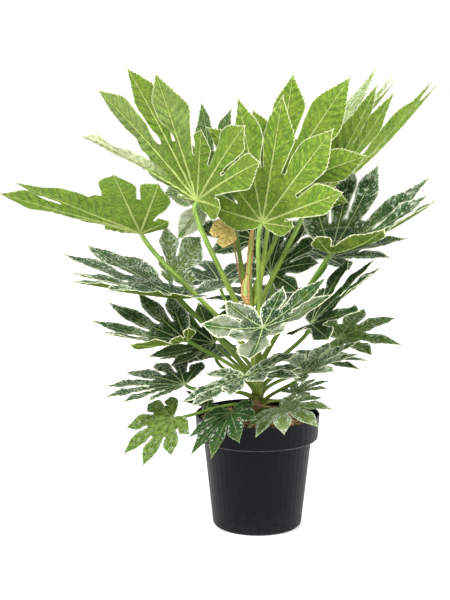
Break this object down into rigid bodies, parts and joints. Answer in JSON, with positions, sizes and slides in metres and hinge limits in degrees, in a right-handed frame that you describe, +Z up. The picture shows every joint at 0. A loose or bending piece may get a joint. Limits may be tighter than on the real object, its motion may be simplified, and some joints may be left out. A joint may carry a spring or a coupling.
{
  "type": "potted fatsia japonica",
  "caption": "Upright leafy plant with broad hand-shaped, deeply lobed variegated leaves on long stalks round one stem, standing in a round black nursery pot with a wide rim band.",
  "frame": {"origin": "centre of the pot's flat underside", "axes": "+Z up along the pot's axis, -Y towards the viewer of the picture, +X to the viewer's right"},
  "size_m": [0.7282, 0.622, 0.7743],
  "materials": {
    "pot_plastic": "matt black moulded plastic with fine scuffs",
    "mix_fibre": "loose brown fibre and bark chips",
    "stem_bark": "green to red-brown stem with ring scars",
    "husk": "dry papery orange-brown sheath",
    "young_leaf": "satin light yellow-green with cream edges",
    "mature_leaf": "glossy dark green, speckled grey-green and edged cream"
  },
  "bodies": {
    "root": {"pot": "pot_plastic", "growing_mix": "mix_fibre", "stem": "stem_bark", "stem_sheath": "husk", "upper_sheath": "husk", "dry_leaf": "husk", "leaf_top_left": "young_leaf", "leaf_top_front": "young_leaf", "leaf_top_middle": "young_leaf", "leaf_top_right_behind": "young_leaf", "leaf_top_right": "young_leaf", "leaf_far_left": "young_leaf", "leaf_upper_right": "mature_leaf", "leaf_upper_middle": "mature_leaf", "leaf_front": "mature_leaf", "leaf_left_behind": "mature_leaf", "leaf_left": "mature_leaf", "leaf_right": "mature_leaf", "leaf_middle_left": "mature_leaf", "leaf_middle_left_behind": "mature_leaf", "leaf_middle_right": "mature_leaf", "leaf_low_front": "mature_leaf", "leaf_low_left": "mature_leaf", "leaf_low_right": "mature_leaf", "leaf_small_right": "mature_leaf", "leaf_rim_right": "mature_leaf", "leaf_rim_front": "mature_leaf", "leaf_rim_left": "mature_leaf", "leaf_hanging": "mature_leaf", "leaf_back_top": "mature_leaf", "leaf_back_upper_left": "mature_leaf", "leaf_back_upper_right": "mature_leaf", "leaf_back_middle": "mature_leaf", "leaf_back_low_left": "mature_leaf", "leaf_back_low_right": "mature_leaf", "leaf_top_left_behind": "mature_leaf"}
  },
  "joints": []
}
